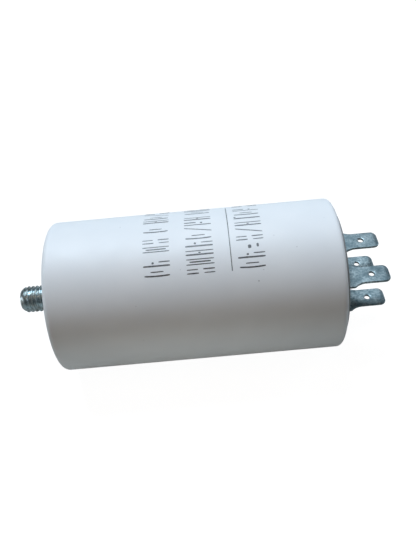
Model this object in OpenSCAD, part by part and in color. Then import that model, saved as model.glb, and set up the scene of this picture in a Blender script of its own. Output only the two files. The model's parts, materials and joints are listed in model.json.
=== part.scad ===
// Motor run capacitor in a moulded plastic can: threaded mounting stud at one
// end, two riveted twin tab terminals on a raised cover at the other.
// The part lies along X. The origin is on the can's axis at its base face,
// where the stud comes out; +X runs to the terminals and +Z is up.

/* [Can] */
// Outer diameter of the can
can_d = 45; // [42:0.5:60]
// Length of the can from its base face to its lip
can_len = 83; // [70:1:120]
// Wall of the can below the cover's ledge
can_wall = 2.4; // [2:0.1:3]
// Thickness of the can's base
base_t = 3; // [2.5:0.1:4]
// Rounding of the can's two outer rims
rim_r = 1.5; // [0.5:0.1:1.6]
// Diameter of the shallow recess round the stud's root
recess_d = 9; // [8.6:0.1:11.5]
// Depth of that recess
recess_depth = 0.5; // [0.3:0.1:0.9]
// Rounding between the can's base and wall, inside
floor_r = 1.5; // [0.5:0.1:2.5]

/* [Mounting stud] */
// Diameter over the thread
stud_d = 8; // [7.5:0.1:8.5]
// Length of stud outside the can
stud_len = 12; // [8:0.5:20]
// Bevel at the stud's tip
stud_bevel = 1; // [0.5:0.1:1.5]
// Diameter of the plain shank that the thread runs out on
neck_d = 7.2; // [5:0.1:7.4]
// Length of plain shank left between the thread and the base face
neck_len = 0.4; // [0.2:0.1:1]
// Bolt head across its flats
head_af = 13; // [11:0.5:16]
// Thickness of the bolt head
head_t = 5.3; // [4:0.1:6.5]
// Plastic between the base face and the bolt head
head_depth = 1.5; // [1:0.1:2.2]
// Plastic round and over the bolt head
head_cover = 1.4; // [1:0.1:2]

/* [Cover] */
// Depth of the cover's ledge below the lip
ledge_depth = 3.5; // [3:0.1:5]
// Width of the ledge that the cover sits on
ledge_w = 0.6; // [0.4:0.1:0.9]
// Height of the cover's face above the lip
cover_rise = 0.9; // [0.5:0.1:2.5]
// Thickness of the cover's face
cover_t = 2; // [1.5:0.1:2.5]
// Wall of the cover's raised part
cover_wall = 1.6; // [1.2:0.1:2.2]
// Width of the groove between the lip and the raised part
groove_w = 1.3; // [0.8:0.1:2]
// Depth of that groove below the lip
groove_depth = 0.8; // [0.4:0.1:1.2]
// Rounding of the raised part's rim
cover_edge_r = 0.5; // [0.2:0.1:0.8]

/* [Twin tabs] */
// Thickness of the terminal sheet
tab_t = 0.8; // [0.5:0.1:1]
// Width of a blade
tab_w = 6.3; // [4.8:0.1:6.6]
// Width of the folded strip below the blades' shoulders
strip_w = 9.1; // [8:0.1:10]
// Height of the blades' tips above the cover's face
tab_h = 13.9; // [12:0.1:15]
// Height of the wide root of each blade, up to its shoulders
root_h = 3.2; // [2.4:0.1:3.6]
// Radius that the shoulders sweep in to the blade with
shoulder_r = 4.8; // [2:0.1:6]
// Distance between the two blades of a twin, middle to middle
blade_pitch = 10.4; // [9:0.1:12]
// Distance between the two twins, middle to middle
twin_pitch = 14; // [12.5:0.1:17]
// Inside radius of the folds
fold_r = 0.8; // [0.4:0.1:1.2]
// Rounding of a blade's tip corners
tip_r = 1.8; // [0.6:0.1:2.2]
// Length of the bevel on both faces of a tip
tip_bevel = 1.2; // [0.6:0.1:2]
// Depth of that bevel on each face
tip_bevel_depth = 0.22; // [0.1:0.01:0.24]
// Diameter of the detent hole in each blade
detent_d = 1.7; // [1.4:0.1:2.2]
// Distance of the detent hole from the tip
detent_from_tip = 5.2; // [3.5:0.1:6]
// Width of the coined bevel round the detent hole
coin_w = 0.35; // [0.2:0.05:0.5]
// Depth of the coined bevel on each face
coin_depth = 0.15; // [0.05:0.05:0.2]

/* [Rivets and lugs] */
// Diameter of the rivet shanks
rivet_d = 4; // [3:0.1:5]
// Diameter of a rivet's domed head
rivet_head_d = 6.6; // [5.6:0.1:7.4]
// Height of the domed head
rivet_head_h = 1.1; // [0.6:0.1:1.4]
// Diameter of the end set over the inner lug
rivet_set_d = 5.8; // [5.2:0.1:6.4]
// Thickness of the set end
rivet_set_t = 0.8; // [0.5:0.1:1]
// Depth of the round hollow in the set end
rivet_hollow_depth = 1.2; // [0.5:0.1:2]
// Thickness of the inner lugs
lug_t = 0.6; // [0.4:0.1:0.8]
// Width of a lug's solder tongue
tongue_w = 3; // [2:0.1:4]
// Distance from a rivet to its lug's tongue
lug_reach = 5.5; // [4.6:0.1:7]
// Length of the tongue below the lug's eye
tongue_drop = 4.8; // [4:0.1:5.5]

/* [Winding] */
// Room between the winding and the cover's ledge
lead_room = 8.5; // [8:0.1:12]
// Resin between the wrapped winding and the can
resin_gap = 1; // [0.6:0.1:2]
// Thickness of the plain film wrapped round the winding
wrap_t = 0.5; // [0.3:0.1:1]
// Thickness of the sprayed metal on each end
spray_t = 0.5; // [0.3:0.1:0.8]
// Outer diameter of the core tube
core_d = 9; // [7:0.1:12]
// Wall of the core tube
core_wall = 1; // [0.6:0.1:1.5]
// Plate of the insulator under the winding
plate_t = 1; // [0.6:0.1:1.5]
// Height of the insulator's rim above its plate
spacer_h = 3; // [2.8:0.1:5]
// Width of the insulator's rim
spacer_w = 2; // [1.5:0.1:3]
// Depth of resin over the top of the winding
resin_cover = 3.8; // [3.5:0.1:4.5]

/* [Leads] */
// Diameter of the lead wires
wire_d = 1; // [0.6:0.1:1.2]
// Wall of the sleeves over the wires
sleeve_wall = 0.4; // [0.2:0.1:0.5]
// Bend radius of a lead, on its middle line
lead_bend_r = 2; // [1.6:0.1:2.5]
// Distance of the base side's solder joint from the axis
base_joint_r = 9; // [7.5:0.1:12]
// Radius of the solder beads on the winding's ends
bead_r = 2; // [1.6:0.1:2.2]
// Radius of the solder beads on the lugs
lug_bead_r = 1.5; // [1:0.1:1.8]
// Length of wire left bare between solder and sleeve
bare_len = 0.5; // [0.3:0.1:1]

/* [Clearances] */
// Radial clearance between the cover and the can's mouth
cover_fit = 0.1; // [0.05:0.01:0.2]
// Radial clearance of the rivet shanks in their holes
rivet_fit = 0.05; // [0.02:0.01:0.1]
// Clearance between the insulator and the can
insulator_fit = 0.6; // [0.3:0.1:1]
// Clearance between a wire and its sleeve
sleeve_fit = 0.1; // [0.05:0.01:0.2]
// Solder film between a wire and its lug
solder_film = 0.1; // [0.05:0.01:0.2]
// Room between a sleeved lead and the metal that it runs past
lead_fit = 0.2; // [0.1:0.05:0.4]

/* [Hidden] */
$fn = 96;

// How far a cut runs past the surface it opens
cut_over = 0.5;

// Radii of the can, from the outside in
can_r = can_d / 2;
bore_r = can_r - can_wall;
mouth_r = bore_r + ledge_w;
flange_r = mouth_r - cover_fit;
plateau_r = mouth_r - groove_w;

// Heights along the axis, from the base face to the terminals
ledge_z = can_len - ledge_depth;
flange_top_z = can_len - groove_depth;
cover_z = can_len + cover_rise;
cover_under_z = cover_z - cover_t;
boss_top_z = head_depth + head_t + head_cover;
plate_top_z = boss_top_z + plate_t;
stack_base_z = plate_top_z + spacer_h;
stack_top_z = ledge_z - lead_room;
resin_z = stack_top_z + resin_cover;

// Bolt head and the boss moulded over it
head_r = head_af / sqrt(3);
boss_r = head_r + head_cover;

// Winding, from the outside in
wrap_r = bore_r - resin_gap;
film_r = wrap_r - wrap_t;
core_r = core_d / 2;
core_bore_r = core_r - core_wall;

// Rivets and lugs
rivet_hole_r = rivet_d / 2 + rivet_fit;
strip_top_z = cover_z + tab_t;
lug_z = cover_under_z - lug_t;
tongue_end_z = lug_z - tongue_drop;
tongue_y = twin_pitch / 2 + lug_reach;

// Leads: both rise to their lugs at the same distance from the axis
wire_r = wire_d / 2;
sleeve_r = wire_r + sleeve_fit + sleeve_wall;
lead_y = tongue_y - lug_t / 2 - solder_film - wire_r;
wire_top_z = lug_z - rivet_set_t;
lug_joint_z = (tongue_end_z + wire_top_z) / 2;
sleeve_top_z = tongue_end_z - bare_len;
base_run_z = stack_base_z - sleeve_r - lead_fit;
cross_run_z = (stack_top_z + resin_z) / 2;
sleeve_start_y = base_joint_r - bead_r - bare_len;

// ---- Placing -------------------------------------------------------------

// Lays a piece that is drawn standing on Z along the part's X axis
module along_axis() {
    rotate([0, 90, 0]) children();
}

// Lays a drawing in the XY plane into the plane that holds both rivets,
// with its X across the twins and its Y along the can
module in_rivet_plane() {
    rotate([90, 0, 90]) children();
}

// Puts a piece on the rear (1) or front (-1) side of the axis
module on_side(side) {
    if (side > 0) children();
    else mirror([0, 1, 0]) children();
}

// ---- Shared shapes -------------------------------------------------------

// What a corner at the origin loses when it is rounded by r. The corner
// points to +X, and to +Y or, where up is false, to -Y.
module corner_waste(r, up = true) {
    mirror([0, up ? 0 : 1]) difference() {
        translate([-r, -r]) square(r + cut_over);
        translate([-r, -r]) circle(r);
    }
}

// Turned bar between two heights, with rounded lower and upper rims
module turned_bar(r, low, high, low_rim = 0, high_rim = 0) {
    rotate_extrude() difference() {
        translate([0, low]) square([r, high - low]);
        if (low_rim > 0) translate([r, low]) corner_waste(low_rim, up = false);
        if (high_rim > 0) translate([r, high]) corner_waste(high_rim);
    }
}

// Turned ring between two heights
module ring(outer_r, inner_r, low, high) {
    rotate_extrude() translate([inner_r, low]) square([outer_r - inner_r, high - low]);
}

// Cap of a ball, of the given base radius and height, standing on Z = 0
module ball_cap(base_r, h) {
    ball_r = (base_r * base_r + h * h) / (2 * h);
    rotate_extrude() intersection() {
        translate([0, h - ball_r]) circle(ball_r);
        square([ball_r, h]);
    }
}

// Straight round rod in the XY plane
module straight_rod(start, end, r) {
    way = end - start;
    translate(start) rotate([0, 90, atan2(way.y, way.x)]) cylinder(r = r, h = norm(way));
}

// Round rod in the XY plane through square corners, each bent to bend_r
module bent_rod(points, r, bend_r) {
    last = len(points) - 1;
    ways = [for (i = [0 : last - 1]) (points[i + 1] - points[i]) / norm(points[i + 1] - points[i])];
    for (i = [0 : last - 1]) {
        start = points[i] + ways[i] * (i == 0 ? 0 : bend_r);
        end = points[i + 1] - ways[i] * (i == last - 1 ? 0 : bend_r);
        straight_rod(start, end, r);
    }
    for (i = [1 : last - 1]) {
        way_in = ways[i - 1];
        way_out = ways[i];
        turns_left = way_in.x * way_out.y - way_in.y * way_out.x > 0;
        first = turns_left ? -way_out : way_in;
        translate(points[i] + bend_r * (way_out - way_in))
            rotate(atan2(first.y, first.x))
                rotate_extrude(angle = 90) translate([bend_r, 0]) circle(r);
    }
}

// ---- Can, stud and cover -------------------------------------------------

// The hollow that the can leaves for its contents, up to a given height:
// a bore with a rounded floor, standing clear of the boss over the bolt head
module can_hollow(top) {
    difference() {
        turned_bar(bore_r, base_t, top, low_rim = floor_r);
        turned_bar(boss_r, 0, boss_top_z, high_rim = head_cover / 2);
    }
}

// Bolt whose hex head is moulded into the base. Its thread is drawn as a
// plain bar over the crests, and it runs out just before the base face.
module stud_bolt() {
    rotate_extrude() polygon([
        [0, -stud_len],
        [stud_d / 2 - stud_bevel, -stud_len],
        [stud_d / 2, stud_bevel - stud_len],
        [stud_d / 2, -neck_len],
        [neck_d / 2, -neck_len],
        [neck_d / 2, head_depth],
        [0, head_depth]
    ]);
    translate([0, 0, head_depth]) intersection() {
        cylinder(r = head_r, h = head_t, $fn = 6);
        cylinder(r1 = head_af / 2 + head_t / tan(30), r2 = head_af / 2, h = head_t);
    }
}

module case() {
    color([0.87, 0.90, 0.92]) along_axis() difference() {
        turned_bar(can_r, 0, can_len, low_rim = rim_r, high_rim = rim_r);
        can_hollow(can_len + cut_over);
        translate([0, 0, ledge_z]) cylinder(r = mouth_r, h = ledge_depth + cut_over);
        translate([0, 0, -cut_over]) cylinder(d = recess_d, h = recess_depth + cut_over);
        stud_bolt();
    }
}

module mounting_stud() {
    color([0.66, 0.70, 0.73]) along_axis() stud_bolt();
}

// Flange on the ledge, raised part with the face that carries the terminals
module terminal_cover() {
    color([0.72, 0.76, 0.78]) along_axis() difference() {
        union() {
            turned_bar(flange_r, ledge_z, flange_top_z);
            turned_bar(plateau_r, ledge_z, cover_z, high_rim = cover_edge_r);
        }
        turned_bar(plateau_r - cover_wall, ledge_z - cut_over, cover_under_z, high_rim = cover_edge_r);
        for (side = [-1, 1])
            translate([0, side * twin_pitch / 2, cover_under_z - cut_over])
                cylinder(r = rivet_hole_r, h = cover_t + 2 * cut_over);
    }
}

// ---- Terminals -----------------------------------------------------------

// Side view of a twin: a sheet folded up at both ends, seen along its width,
// with X across the blades. The blades' tips are bevelled on both faces.
module fold_profile() {
    outer_x = (blade_pitch + tab_t) / 2;
    inner_x = (blade_pitch - tab_t) / 2;
    difference() {
        translate([-outer_x, 0]) square([2 * outer_x, tab_h]);
        fold_waste(outer_x, 0, fold_r + tab_t);
        difference() {
            translate([-inner_x, tab_t]) square([2 * inner_x, tab_h]);
            fold_waste(inner_x, tab_t, fold_r);
        }
        for (side = [-1, 1], face = [-1, 1])
            translate([side * blade_pitch / 2, 0]) polygon([
                [face * (tab_t / 2 - tip_bevel_depth), tab_h],
                [face * tab_t / 2, tab_h - tip_bevel],
                [face * tab_t, tab_h - tip_bevel],
                [face * tab_t, tab_h + cut_over],
                [face * (tab_t / 2 - tip_bevel_depth), tab_h + cut_over]
            ]);
    }
}

// Rounds the two lower corners of a shape at plus and minus x
module fold_waste(x, y, r) {
    for (side = [0, 1])
        mirror([side, 0]) translate([x, y]) corner_waste(r, up = false);
}

// Front view of a blade over its root: long shoulders sweep in from the
// strip's edges until they run along the blade's, and the tip's corners are
// rounded
module blade_outline() {
    shoulder_w = (strip_w - tab_w) / 2;
    sweep_end_h = root_h + sqrt(shoulder_w * (2 * shoulder_r - shoulder_w));
    difference() {
        translate([-strip_w / 2, 0]) square([strip_w, tab_h]);
        for (side = [0, 1]) mirror([side, 0]) {
            translate([tab_w / 2 + shoulder_r, sweep_end_h]) circle(shoulder_r);
            translate([tab_w / 2, sweep_end_h]) square([strip_w, tab_h]);
            translate([tab_w / 2, tab_h]) corner_waste(tip_r);
        }
    }
}

// Two facing blades folded up from one strip, which the rivet holds down
module twin_tab() {
    reach = blade_pitch + 2 * tab_t;
    difference() {
        intersection() {
            rotate([90, 0, 0]) translate([0, 0, -strip_w / 2])
                linear_extrude(strip_w) fold_profile();
            rotate([90, 0, 90]) translate([0, 0, -reach / 2])
                linear_extrude(reach) blade_outline();
        }
        translate([0, 0, -cut_over]) cylinder(r = rivet_hole_r, h = tab_t + 2 * cut_over);
        for (side = [-1, 1])
            translate([side * blade_pitch / 2, 0, tab_h - detent_from_tip]) detent();
    }
}

// Hole that a push-on receptacle's dimple drops into, coined on both faces
module detent() {
    rotate([0, 90, 0]) cylinder(d = detent_d, h = 2 * tab_t, center = true);
    for (face = [0, 180]) rotate([0, 90 + face, 0])
        translate([0, 0, tab_t / 2 - coin_depth])
            cylinder(d1 = detent_d, d2 = detent_d + 2 * coin_w, h = coin_depth);
}

module twin_tab_on(side) {
    color([0.60, 0.68, 0.70]) along_axis()
        translate([0, side * twin_pitch / 2, cover_z]) twin_tab();
}

module rear_twin_tab() {
    twin_tab_on(1);
}

module front_twin_tab() {
    twin_tab_on(-1);
}

// Semi-tubular rivet: domed head on the strip, hollow end set over the lug
module rivet_on(side) {
    color([0.70, 0.72, 0.70]) along_axis() translate([0, side * twin_pitch / 2, 0]) difference() {
        union() {
            translate([0, 0, strip_top_z]) ball_cap(rivet_head_d / 2, rivet_head_h);
            translate([0, 0, lug_z]) cylinder(d = rivet_d, h = strip_top_z - lug_z);
            turned_bar(rivet_set_d / 2, lug_z - rivet_set_t, lug_z, low_rim = rivet_set_t / 2);
        }
        translate([0, 0, lug_z - rivet_set_t - cut_over])
            cylinder(d = rivet_d / 2, h = rivet_hollow_depth + cut_over);
    }
}

module rear_rivet() {
    rivet_on(1);
}

module front_rivet() {
    rivet_on(-1);
}

// ---- Inner lugs ----------------------------------------------------------

// Side view of a lug in the rivet plane: eye under the cover, tongue folded
// down. X runs from the rivet to the tongue.
module lug_profile() {
    outer_x = lug_reach + lug_t / 2;
    tail = rivet_set_d / 2 + lug_t;
    difference() {
        translate([-tail, -tongue_drop]) square([tail + outer_x, tongue_drop + lug_t]);
        translate([-tail - cut_over, -tongue_drop - cut_over])
            square([tail + outer_x - lug_t + cut_over, tongue_drop + cut_over]);
        translate([outer_x, lug_t]) corner_waste(lug_t);
    }
}

// Top view of a lug: round eye, and a neck that runs out to the tongue
module lug_outline() {
    circle(d = rivet_set_d + 2 * lug_t);
    translate([0, -tongue_w / 2]) square([lug_reach + lug_t, tongue_w]);
}

// The lug of the rear rivet, standing on Z
module standing_lug() {
    translate([0, twin_pitch / 2, lug_z]) difference() {
        intersection() {
            in_rivet_plane() translate([0, 0, -rivet_set_d])
                linear_extrude(2 * rivet_set_d) lug_profile();
            rotate(90) translate([0, 0, -tongue_drop - cut_over])
                linear_extrude(tongue_drop + lug_t + 2 * cut_over) lug_outline();
        }
        translate([0, 0, -cut_over]) cylinder(r = rivet_hole_r, h = lug_t + 2 * cut_over);
    }
}

module lug_on(side) {
    color([0.78, 0.76, 0.66]) along_axis() on_side(side) standing_lug();
}

module rear_lug() {
    lug_on(1);
}

module front_lug() {
    lug_on(-1);
}

// ---- Leads, sleeves and solder -------------------------------------------

// Straight lead of the rear lug, from the winding's top end
module short_run(r, low, high) {
    translate([0, lead_y, low]) cylinder(r = r, h = high - low);
}

// Route of the front lug's lead: from the winding's base end in to the axis,
// up the core tube, out over the winding's top and up to the lug. X runs from
// the axis to the front.
function long_route(start_y, end_z) = [
    [start_y, base_run_z],
    [0, base_run_z],
    [0, cross_run_z],
    [lead_y, cross_run_z],
    [lead_y, end_z]
];

module long_run(r, start_y, end_z) {
    on_side(-1) in_rivet_plane() bent_rod(long_route(start_y, end_z), r, lead_bend_r);
}

module short_wire() {
    short_run(wire_r, stack_top_z, wire_top_z);
}

module long_wire() {
    long_run(wire_r, base_joint_r + wire_r, wire_top_z);
}

// What the two sleeved leads take out of the resin
module sleeved_leads() {
    short_wire();
    short_run(sleeve_r, stack_top_z + bead_r / 2 + bare_len, sleeve_top_z);
    long_wire();
    long_run(sleeve_r, sleeve_start_y, sleeve_top_z);
}

module short_lead() {
    color([0.80, 0.72, 0.60]) along_axis() short_wire();
}

module long_lead() {
    color([0.80, 0.72, 0.60]) along_axis() long_wire();
}

module short_sleeve() {
    color([0.93, 0.90, 0.78]) along_axis() difference() {
        short_run(sleeve_r, stack_top_z + bead_r / 2 + bare_len, sleeve_top_z);
        short_run(wire_r + sleeve_fit, stack_top_z, wire_top_z);
    }
}

module long_sleeve() {
    color([0.93, 0.90, 0.78]) along_axis() difference() {
        long_run(sleeve_r, sleeve_start_y, sleeve_top_z);
        long_run(wire_r + sleeve_fit, sleeve_start_y + cut_over, sleeve_top_z + cut_over);
    }
}

// Solder bead between a lead and the tongue of its lug
module lug_bead() {
    difference() {
        translate([0, lead_y, lug_joint_z]) sphere(lug_bead_r);
        translate([-bead_r, tongue_y - lug_t / 2, tongue_end_z - bead_r])
            cube([2 * bead_r, 2 * bead_r, tongue_drop + 2 * bead_r]);
        short_wire();
    }
}

module lug_solder_on(side) {
    color([0.75, 0.77, 0.78]) along_axis() on_side(side) lug_bead();
}

module rear_lug_solder() {
    lug_solder_on(1);
}

module front_lug_solder() {
    lug_solder_on(-1);
}

module top_bead() {
    translate([0, lead_y, stack_top_z]) ball_cap(bead_r, bead_r / 2);
}

module base_bead() {
    translate([0, -base_joint_r, stack_base_z]) mirror([0, 0, 1]) ball_cap(bead_r, bead_r);
}

module top_end_solder() {
    color([0.75, 0.77, 0.78]) along_axis() difference() {
        top_bead();
        short_wire();
    }
}

module base_end_solder() {
    color([0.75, 0.77, 0.78]) along_axis() difference() {
        base_bead();
        long_wire();
    }
}

// ---- Winding -------------------------------------------------------------

module top_end_spray() {
    color([0.62, 0.63, 0.64]) along_axis() ring(film_r, core_r, stack_top_z - spray_t, stack_top_z);
}

module base_end_spray() {
    color([0.62, 0.63, 0.64]) along_axis() ring(film_r, core_r, stack_base_z, stack_base_z + spray_t);
}

module core_tube() {
    color([0.85, 0.85, 0.80]) along_axis() ring(core_r, core_bore_r, stack_base_z, stack_top_z);
}

module film_winding() {
    color([0.70, 0.68, 0.62]) along_axis()
        ring(film_r, core_r, stack_base_z + spray_t, stack_top_z - spray_t);
}

module outer_wrap() {
    color([0.90, 0.88, 0.80]) along_axis() ring(wrap_r, film_r, stack_base_z, stack_top_z);
}

// Dish that keeps the winding's live end and its lead off the bolt head
module insulator_dish() {
    dish_r = bore_r - insulator_fit;
    difference() {
        translate([0, 0, boss_top_z]) cylinder(r = dish_r, h = plate_t + spacer_h);
        translate([0, 0, plate_top_z]) cylinder(r = dish_r - spacer_w, h = spacer_h + cut_over);
    }
}

module base_insulator() {
    color([0.92, 0.92, 0.90]) along_axis() insulator_dish();
}

// Resin poured round the winding, up to just over its top end
module potting_resin() {
    color([0.45, 0.42, 0.36]) along_axis() difference() {
        can_hollow(resin_z);
        insulator_dish();
        ring(wrap_r, core_bore_r, stack_base_z, stack_top_z);
        top_bead();
        base_bead();
        sleeved_leads();
    }
}

case();
mounting_stud();
terminal_cover();
rear_twin_tab();
front_twin_tab();
rear_rivet();
front_rivet();
rear_lug();
front_lug();
rear_lug_solder();
front_lug_solder();
short_lead();
long_lead();
short_sleeve();
long_sleeve();
top_end_solder();
base_end_solder();
top_end_spray();
base_end_spray();
core_tube();
film_winding();
outer_wrap();
base_insulator();
potting_resin();
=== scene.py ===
"""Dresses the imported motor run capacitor.

It adds the finishes, the stud's thread, the tabs' stamped edges, the printed marks, the flash at
the can's mouth, and the studio that they are seen in.
"""

import json
import logging
import math
import random
from dataclasses import dataclass, field
from enum import Enum
from functools import cache
from typing import Protocol

import bpy
import bmesh
from mathutils import Euler, Matrix, Vector
from mathutils.geometry import delaunay_2d_cdt


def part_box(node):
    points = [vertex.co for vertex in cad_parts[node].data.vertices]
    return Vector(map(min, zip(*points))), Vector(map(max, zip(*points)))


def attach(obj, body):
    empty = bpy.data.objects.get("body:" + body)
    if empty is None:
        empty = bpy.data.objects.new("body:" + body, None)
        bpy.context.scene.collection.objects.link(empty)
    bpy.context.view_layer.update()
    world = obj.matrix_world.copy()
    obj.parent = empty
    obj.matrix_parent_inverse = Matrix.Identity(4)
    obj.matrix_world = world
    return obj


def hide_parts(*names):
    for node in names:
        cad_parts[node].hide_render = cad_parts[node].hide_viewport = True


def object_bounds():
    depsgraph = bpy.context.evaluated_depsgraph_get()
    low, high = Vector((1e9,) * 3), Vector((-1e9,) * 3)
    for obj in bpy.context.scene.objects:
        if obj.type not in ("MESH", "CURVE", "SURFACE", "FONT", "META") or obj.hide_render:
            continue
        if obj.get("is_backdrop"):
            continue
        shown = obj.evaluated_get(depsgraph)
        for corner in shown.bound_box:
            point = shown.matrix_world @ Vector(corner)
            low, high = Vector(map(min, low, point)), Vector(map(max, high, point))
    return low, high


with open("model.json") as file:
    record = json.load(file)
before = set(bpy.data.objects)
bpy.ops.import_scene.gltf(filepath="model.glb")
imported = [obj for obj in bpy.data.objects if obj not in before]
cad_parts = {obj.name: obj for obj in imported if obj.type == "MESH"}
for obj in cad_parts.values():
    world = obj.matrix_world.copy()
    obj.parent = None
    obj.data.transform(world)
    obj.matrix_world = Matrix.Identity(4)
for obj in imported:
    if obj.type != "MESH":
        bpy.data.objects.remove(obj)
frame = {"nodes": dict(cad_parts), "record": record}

LOG = logging.getLogger("capacitor")

MM = 0.001
BODY = "root"

# Points nearer than WELD are one point in a finished mesh, and WELD_DIGITS rounds a place to it.
# FILL_WELD is the same while the flat face of a sheet is filled.
WELD = 1e-4 * MM
WELD_DIGITS = 7
FILL_WELD = 1e-6 * MM

# Most of a noise's values lie in this range.
NOISE_MIDDLE = (0.35, 0.65)

# Sockets of a Mix node that mixes colours: their names are shared with its other modes.
MIX_FACTOR, MIX_FIRST, MIX_SECOND, MIX_RESULT = 0, 6, 7, 2

Colour = tuple[float, float, float]
Socket = bpy.types.NodeSocket


# ---------------------------------------------------------------------------
# Node and mesh benches
# ---------------------------------------------------------------------------


class ShaderBench:
    """A material's node tree, with short calls for the nodes that the finishes share."""

    noise_roughness: float = 0.55

    def __init__(self, name: str) -> None:
        """Opens an empty node tree with one output.

        Args:
            name: The material's name.
        """
        self.material = bpy.data.materials.new(name)
        self.material.use_nodes = True
        self.tree = self.material.node_tree
        self.tree.nodes.clear()
        self.output = self.tree.nodes.new("ShaderNodeOutputMaterial")
        self.place = self.tree.nodes.new("ShaderNodeTexCoord").outputs["Object"]

    def node(self, kind: str, **inputs: object) -> bpy.types.Node:
        """Adds a node and sets or links its inputs.

        Args:
            kind: The node's type, such as "ShaderNodeBump".
            **inputs: Values or sockets by input name, with _ for a space.

        Returns:
            The new node.
        """
        made = self.tree.nodes.new(kind)
        for key, value in inputs.items():
            socket = made.inputs[key.replace("_", " ")]
            if isinstance(value, Socket):
                self.tree.links.new(value, socket)
            else:
                socket.default_value = value
        return made

    def stretched(self, factors: tuple[float, float, float]) -> Socket:
        """Scales the object's coordinates along X, Y and Z, for streaks."""
        mapping = self.node("ShaderNodeMapping", Vector=self.place, Scale=factors)
        return mapping.outputs["Vector"]

    def noise(self, size_mm: float, detail: float, where: Socket | None = None) -> Socket:
        """Soft noise whose features are about size_mm across.

        Args:
            size_mm: Feature size in millimetres.
            detail: Number of finer layers.
            where: Coordinates, or None for the object's own.

        Returns:
            The noise, around 0.5.
        """
        made = self.node("ShaderNodeTexNoise", Vector=where or self.place, Scale=1.0 / (size_mm * MM),
                         Detail=detail, Roughness=self.noise_roughness)
        return made.outputs["Fac"]

    def spread(self, value: Socket, low: float, high: float, to_low: float = 0.0,
               to_high: float = 1.0) -> Socket:
        """Maps a value's range onto another one, clamped.

        Args:
            value: The value to map.
            low: Where the range starts.
            high: Where the range ends.
            to_low: What low becomes.
            to_high: What high becomes.

        Returns:
            The mapped value.
        """
        made = self.node("ShaderNodeMapRange", Value=value, From_Min=low, From_Max=high, To_Min=to_low,
                         To_Max=to_high)
        return made.outputs["Result"]

    def blend(self, factor: Socket, first: Colour | Socket, second: Colour | Socket) -> Socket:
        """Mixes two colours.

        Args:
            factor: 0 for the first colour, 1 for the second.
            first: A colour or a socket.
            second: A colour or a socket.

        Returns:
            The mixed colour.
        """
        made = self.tree.nodes.new("ShaderNodeMix")
        made.data_type = "RGBA"
        self.tree.links.new(factor, made.inputs[MIX_FACTOR])
        for socket, value in ((made.inputs[MIX_FIRST], first), (made.inputs[MIX_SECOND], second)):
            if isinstance(value, Socket):
                self.tree.links.new(value, socket)
            else:
                socket.default_value = (*value, 1.0)
        return made.outputs[MIX_RESULT]

    def times(self, first: Socket, second: Socket) -> Socket:
        """Multiplies two values.

        Args:
            first: A value.
            second: Another value.

        Returns:
            Their product.
        """
        made = self.tree.nodes.new("ShaderNodeMath")
        made.operation = "MULTIPLY"
        self.tree.links.new(first, made.inputs[0])
        self.tree.links.new(second, made.inputs[1])
        return made.outputs["Value"]

    def bump(self, height: Socket, depth_mm: float, strength: float = 1.0,
             under: Socket | None = None) -> Socket:
        """Turns a height into a bumped normal.

        Args:
            height: Height from 0 to 1.
            depth_mm: What a height of 1 stands for, in millimetres.
            strength: Share of the effect.
            under: A normal to bump further.

        Returns:
            The bumped normal.
        """
        made = self.node("ShaderNodeBump", Height=height, Distance=depth_mm * MM, Strength=strength)
        if under is not None:
            self.tree.links.new(under, made.inputs["Normal"])
        return made.outputs["Normal"]

    def finish(self, **inputs: object) -> bpy.types.Material:
        """Adds the surface shader and closes the tree.

        Args:
            **inputs: Inputs of the surface shader, as node() takes them.

        Returns:
            The finished material.
        """
        surface = self.node("ShaderNodeBsdfPrincipled", **inputs)
        self.tree.links.new(surface.outputs["BSDF"], self.output.inputs["Surface"])
        return self.material


class MeshBench:
    """Collects points and faces in the part's coordinates and turns them into one piece."""

    def __init__(self) -> None:
        """Starts with no points."""
        self.points: list[Vector] = []
        self.faces: list[tuple[int, ...]] = []

    def add(self, point: Vector) -> int:
        """Adds a point and returns its number."""
        self.points.append(point)
        return len(self.points) - 1

    def sheet(self, rows: list[list[Vector]], wrap: bool = False) -> None:
        """Skins rows of points with quads.

        Args:
            rows: Rows with the same number of points.
            wrap: True to join each row's end to its start.
        """
        numbers = [[self.add(point) for point in row] for row in rows]
        count = len(rows[0])
        for low, high in zip(numbers, numbers[1:]):
            for i in range(count if wrap else count - 1):
                j = (i + 1) % count
                self.faces.append((low[i], low[j], high[j], high[i]))

    def cap(self, ring: list[Vector]) -> None:
        """Closes a ring of points with a fan about its middle.

        Args:
            ring: The ring's points in order.
        """
        numbers = [self.add(point) for point in ring]
        middle = self.add(sum(ring, Vector()) / len(ring))
        for i, here in enumerate(numbers):
            there = numbers[(i + 1) % len(numbers)]
            self.faces.append((here, there, middle))

    def piece(self, name: str, material: bpy.types.Material, smooth_deg: float = 40.0) -> bpy.types.Object:
        """Makes the object, welds its seams and turns its faces outwards.

        Args:
            name: The object's name.
            material: Its finish.
            smooth_deg: Edges flatter than this are shaded smooth.

        Returns:
            The new object.
        """
        mesh = bpy.data.meshes.new(name)
        mesh.from_pydata([tuple(p) for p in self.points], [], self.faces)
        made = bmesh.new()
        made.from_mesh(mesh)
        bmesh.ops.remove_doubles(made, verts=made.verts, dist=WELD)
        bmesh.ops.recalc_face_normals(made, faces=made.faces)
        for edge in made.edges:
            edge.smooth = len(edge.link_faces) == 2 and edge.calc_face_angle(0.0) < math.radians(smooth_deg)
        for face in made.faces:
            face.smooth = True
        made.to_mesh(mesh)
        made.free()
        mesh.materials.append(material)
        piece = bpy.data.objects.new(name, mesh)
        bpy.context.scene.collection.objects.link(piece)
        return piece


def round_point(x: float, radius: float, angle: float) -> Vector:
    """A point round the can's axis; the angle runs from the front (-Y) up to the top (+Z)."""
    return Vector((x, -radius * math.cos(angle), radius * math.sin(angle)))


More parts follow.
